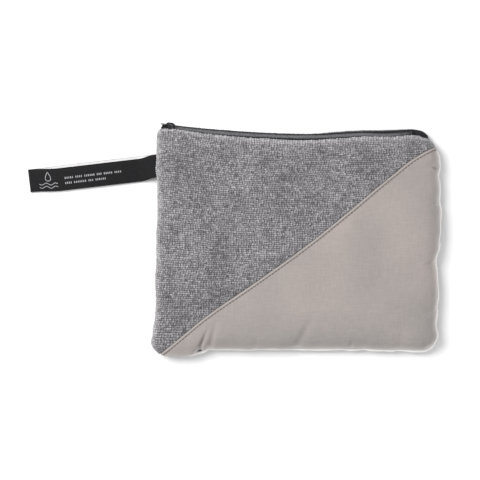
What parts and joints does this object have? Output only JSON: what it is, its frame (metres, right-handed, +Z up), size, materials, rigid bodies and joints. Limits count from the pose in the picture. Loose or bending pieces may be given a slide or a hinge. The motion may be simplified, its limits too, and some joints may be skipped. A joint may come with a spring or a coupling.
{
  "type": "quick dry towel in zip pouch",
  "caption": "Folded quick-dry towel in a flat zip pouch of terry and smooth cloth, with a curved coil zip, a slider with a swinging tab, and a ribbon loop.",
  "frame": {"origin": "on the surface that the pouch lies on, under the middle of its back", "axes": "+X along the zip from the slider's closed end, +Y from the bottom seam to the zip, +Z up out of the front"},
  "size_m": [0.3585, 0.1994, 0.0199],
  "materials": {
    "terry_cloth": "grey looped terry",
    "smooth_cloth": "taupe plain weave with a soft sheen",
    "towel_cloth": "grey split microfibre terry",
    "zip_tape": "black woven tape",
    "zip_coil": "black nylon filament",
    "dark_metal": "black plated zinc, satin",
    "ribbon": "black satin ribbon with a white inner face",
    "grey_thread": "polyester sewing thread",
    "taupe_thread": "polyester sewing thread",
    "black_thread": "polyester sewing thread"
  },
  "bodies": {
    "pouch": {"front_terry_panel": "terry_cloth", "front_smooth_panel": "smooth_cloth", "back_panel": "terry_cloth", "side_seam_thread": "grey_thread", "diagonal_topstitch_thread": "taupe_thread", "zip_front_tape": "zip_tape", "zip_back_tape": "zip_tape", "zip_front_coil": "zip_coil", "zip_back_coil": "zip_coil", "zip_front_top_stop": "dark_metal", "zip_back_top_stop": "dark_metal", "zip_bottom_stop": "dark_metal", "zip_left_end_tack": "black_thread", "zip_right_end_tack": "black_thread", "strap_tack_thread": "black_thread", "towel": "towel_cloth", "towel_hem_thread": "grey_thread"},
    "slider": {"zip_slider_body": "dark_metal", "zip_slider_bail": "dark_metal"},
    "pull_tab": {"zip_pull_tab": "dark_metal"},
    "strap": {"strap_ribbon": "ribbon"}
  },
  "joints": [
    {"name": "zip_travel", "type": "hinge", "parent": "pouch", "child": "slider", "pos_m": [0.017, 1.0893, 0.0075], "axis": [0, 0, 1], "range_deg": [0, 11.74]},
    {"name": "pull_tab_swing", "type": "hinge", "parent": "slider", "child": "pull_tab", "pos_m": [-0.11271, 0.09999, 0.00973], "axis": [0.0919, 0.7011, -0.7071], "range_deg": [0, 180]},
    {"name": "strap_swing", "type": "hinge", "parent": "pouch", "child": "strap", "pos_m": [-0.1258, 0.0644, 0.0065], "axis": [0, 1, 0], "range_deg": [0, 105]}
  ]
}
